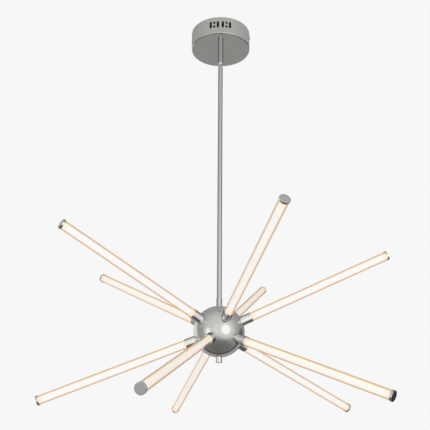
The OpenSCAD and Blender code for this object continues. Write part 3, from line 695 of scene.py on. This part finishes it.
SLEEVE_LOOP = sleeve_loop()
for ring, elevation, phase in (("upper", UPPER_ANGLE, 0.0), ("lower", LOWER_ANGLE, 0.5)):
    for k in range(1, RING_ARMS + 1):
        place = arm_place(elevation, (k - 1 + phase) * 360.0 / RING_ARMS)
        Shell().revolve(SOCKET_LOOP).piece(
            f"{ring}_cup_{k}", socket_chrome, "hung_light", "trim_chrome", [f"{ring}_socket_{k}"], place,
            faces_tube, [painted_glow_inside])
        Shell().revolve(TUBE_LOOP, SEGMENTS_TUBE).piece(
            f"{ring}_clear_tube_{k}", clear_tube, "hung_light", "clear_tube", [f"{ring}_tube_{k}"], place)
        Shell().revolve(CAP_LOOP).piece(
            f"{ring}_cap_{k}", trim_chrome, "hung_light", "trim_chrome", [f"{ring}_end_cap_{k}"], place,
            faces_tube, [painted_glow_inside])
        sleeve = Shell().revolve(SLEEVE_LOOP, SEGMENTS_SMALL).piece(
            f"{ring}_glow_sleeve_{k}", frosted, "hung_light", "frosted_sleeve", [f"{ring}_sleeves"], place)
        mark_glow(sleeve, place)


# Better materials on the CAD nodes that stay

for part in frame["record"]["subparts"]:
    node = frame["nodes"][part["node"]]
    node.data.materials.clear()
    node.data.materials.append(LOOKS[part["material_slot"]].material)


# Floor, far below, which fades into the pale backdrop

BACKDROP = 0.93
FLOOR_Z, FLOOR_HALF, FADE_FROM, FADE_TO = -3.2, 60.0, 6.0, 14.0
floor_mesh = bpy.data.meshes.new("floor")
corners = ((-1, -1), (1, -1), (1, 1), (-1, 1))
floor_mesh.from_pydata([(x * FLOOR_HALF, y * FLOOR_HALF, FLOOR_Z) for x, y in corners], [], [(0, 1, 2, 3)])
floor = bpy.data.objects.new("floor", floor_mesh)
bpy.context.scene.collection.objects.link(floor)
floor.visible_glossy = floor.visible_diffuse = False
floor_look = Look("floor", (BACKDROP,) * 3, 0.0, 0.9)
floor_look.set("Specular IOR Level", 0.0)
floor_look.bump(floor_look.noise(30.0), 0.02, 0.001)
far = floor_look.node("ShaderNodeVectorMath", operation="LENGTH")
floor_look.links.new(floor_look.coords.outputs["Object"], far.inputs[0])
fade = floor_look.spread(far.outputs["Value"], 0.0, 1.0, FADE_FROM, FADE_TO)
pale = floor_look.node("ShaderNodeEmission")
pale.inputs["Color"].default_value = (*(BACKDROP,) * 3, 1.0)
blend = floor_look.node("ShaderNodeMixShader")
floor_look.links.new(fade, blend.inputs["Fac"])
floor_look.links.new(floor_look.shader.outputs["BSDF"], blend.inputs[1])
floor_look.links.new(pale.outputs["Emission"], blend.inputs[2])
floor_look.links.new(blend.outputs["Shader"], floor_look.nodes["Material Output"].inputs["Surface"])
floor_mesh.materials.append(floor_look.material)


# World: pale backdrop for the camera and through the tubes, even light, and a studio for the metal to mirror

world = bpy.data.worlds.new("studio")
bpy.context.scene.world = world
world.use_nodes = True
tree = world.node_tree
tree.nodes.clear()
link = tree.links.new


def add(kind, **values):
    made = tree.nodes.new(kind)
    for key, value in values.items():
        setattr(made, key, value)
    return made


direction = add("ShaderNodeTexCoord").outputs["Generated"]


def towards(azimuth, elevation):
    """A direction by degrees: azimuth 0 is where the camera stands and turns to its right."""
    a, e = math.radians(azimuth), math.radians(elevation)
    return Vector((math.sin(a) * math.cos(e), -math.cos(a) * math.cos(e), math.sin(e)))


def lobe(azimuth, elevation, inner, outer):
    """1 within inner degrees of a direction, falling smoothly to 0 at outer degrees."""
    dot = add("ShaderNodeVectorMath", operation="DOT_PRODUCT")
    link(direction, dot.inputs[0])
    dot.inputs[1].default_value = towards(azimuth, elevation)
    spread = add("ShaderNodeMapRange", interpolation_type="SMOOTHSTEP")
    spread.inputs["From Min"].default_value = math.cos(math.radians(outer))
    spread.inputs["From Max"].default_value = math.cos(math.radians(inner))
    link(dot.outputs["Value"], spread.inputs["Value"])
    return spread.outputs["Result"]


# Each over the ones before it: azimuth, elevation, inner, outer, level, low. Those marked low end at the horizon.
STUDIO = [
    (0.0, 90.0, 88.0, 112.0, 0.3, False),     # ceiling and the walls' upper part
    (0.0, 5.0, 0.0, 115.0, 0.84, False),      # soft front light and its middle
    (0.0, 2.0, 0.0, 30.0, 1.12, False),
    (0.0, -90.0, 30.0, 70.0, 0.13, False),    # floor
    (0.0, -90.0, 0.0, 32.0, 0.1, False),      # the object's own shadow on the floor
    (180.0, 9.0, 66.0, 73.0, 0.0, True),      # dark edge of the backdrop
    (180.0, 9.0, 55.0, 60.0, 0.42, True),     # backdrop
    (-90.0, -5.0, 8.0, 26.0, 0.36, False),    # wall on the left
    (118.0, -5.0, 13.0, 22.0, 0.05, False),   # flag on the right
    (-138.0, 0.0, 12.0, 33.0, 1.0, False),    # window at the back left
    (31.0, 2.0, 18.0, 50.0, 0.95, False),     # softbox on the right, its glow and its middle
    (31.0, 2.0, 12.0, 27.0, 1.6, False),
    (-49.0, -4.0, 6.0, 24.0, 0.95, False),    # softbox on the left
    (-49.0, -4.0, 3.0, 15.0, 1.45, False),
]
STUDIO_BASE = 0.37
below = lobe(0.0, -90.0, 70.0, 92.0)
level = None
for azimuth, elevation, inner, outer, value, low in STUDIO:
    factor = lobe(azimuth, elevation, inner, outer)
    if low:
        both = add("ShaderNodeMath", operation="MULTIPLY")
        link(factor, both.inputs[0])
        link(below, both.inputs[1])
        factor = both.outputs[0]
    mix = add("ShaderNodeMix")
    link(factor, mix.inputs["Factor"])
    if level is None:
        mix.inputs[MIX_FIRST].default_value = STUDIO_BASE
    else:
        link(level, mix.inputs[MIX_FIRST])
    mix.inputs[MIX_SECOND].default_value = value
    level = mix.outputs[MIX_OUT]

# Even light for all that isn't metal, stronger from above than from below
LIGHT_ABOVE, LIGHT_BELOW, LIGHT_BAND = 1.13, 0.67, 0.3
height = add("ShaderNodeSeparateXYZ")
link(direction, height.inputs[0])
daylight = add("ShaderNodeMapRange", interpolation_type="SMOOTHSTEP")
ends = (("From Min", -LIGHT_BAND), ("From Max", LIGHT_BAND), ("To Min", LIGHT_BELOW), ("To Max", LIGHT_ABOVE))
for key, value in ends:
    daylight.inputs[key].default_value = value
link(height.outputs["Z"], daylight.inputs["Value"])

# Metal mirrors the studio; the camera and rays through the tubes see the backdrop; the rest gets the even light
path = add("ShaderNodeLightPath")
seen = add("ShaderNodeMath", operation="MAXIMUM")
link(path.outputs["Is Camera Ray"], seen.inputs[0])
link(path.outputs["Is Transmission Ray"], seen.inputs[1])
first = add("ShaderNodeMix")
link(path.outputs["Is Glossy Ray"], first.inputs["Factor"])
link(daylight.outputs["Result"], first.inputs[MIX_FIRST])
link(level, first.inputs[MIX_SECOND])
second = add("ShaderNodeMix")
link(seen.outputs[0], second.inputs["Factor"])
link(first.outputs[MIX_OUT], second.inputs[MIX_FIRST])
second.inputs[MIX_SECOND].default_value = BACKDROP
background = add("ShaderNodeBackground")
link(second.outputs[MIX_OUT], background.inputs["Color"])
link(background.outputs["Background"], add("ShaderNodeOutputWorld").inputs["Surface"])


# Soft lamps, which shade what isn't metal and lay the shadow on the floor

LAMP_SIZE, LAMP_DISTANCE = 1.4, 2.5
LAMPS = (("key", 31.0, 30.0, 12.0), ("fill", -49.0, 15.0, 6.0))    # name, azimuth, elevation, watts
centre = Vector((0.0, 0.0, HUB_Z * MM))
for name, azimuth, elevation, watts in LAMPS:
    lamp = bpy.data.lights.new(name, "AREA")
    lamp.shape, lamp.size, lamp.energy = "DISK", LAMP_SIZE, watts
    holder = bpy.data.objects.new(name, lamp)
    place = centre + towards(azimuth, elevation) * LAMP_DISTANCE
    holder.location = place
    holder.rotation_euler = (centre - place).to_track_quat("-Z", "Y").to_euler()
    holder.visible_camera = holder.visible_glossy = holder.visible_transmission = False
    bpy.context.scene.collection.objects.link(holder)
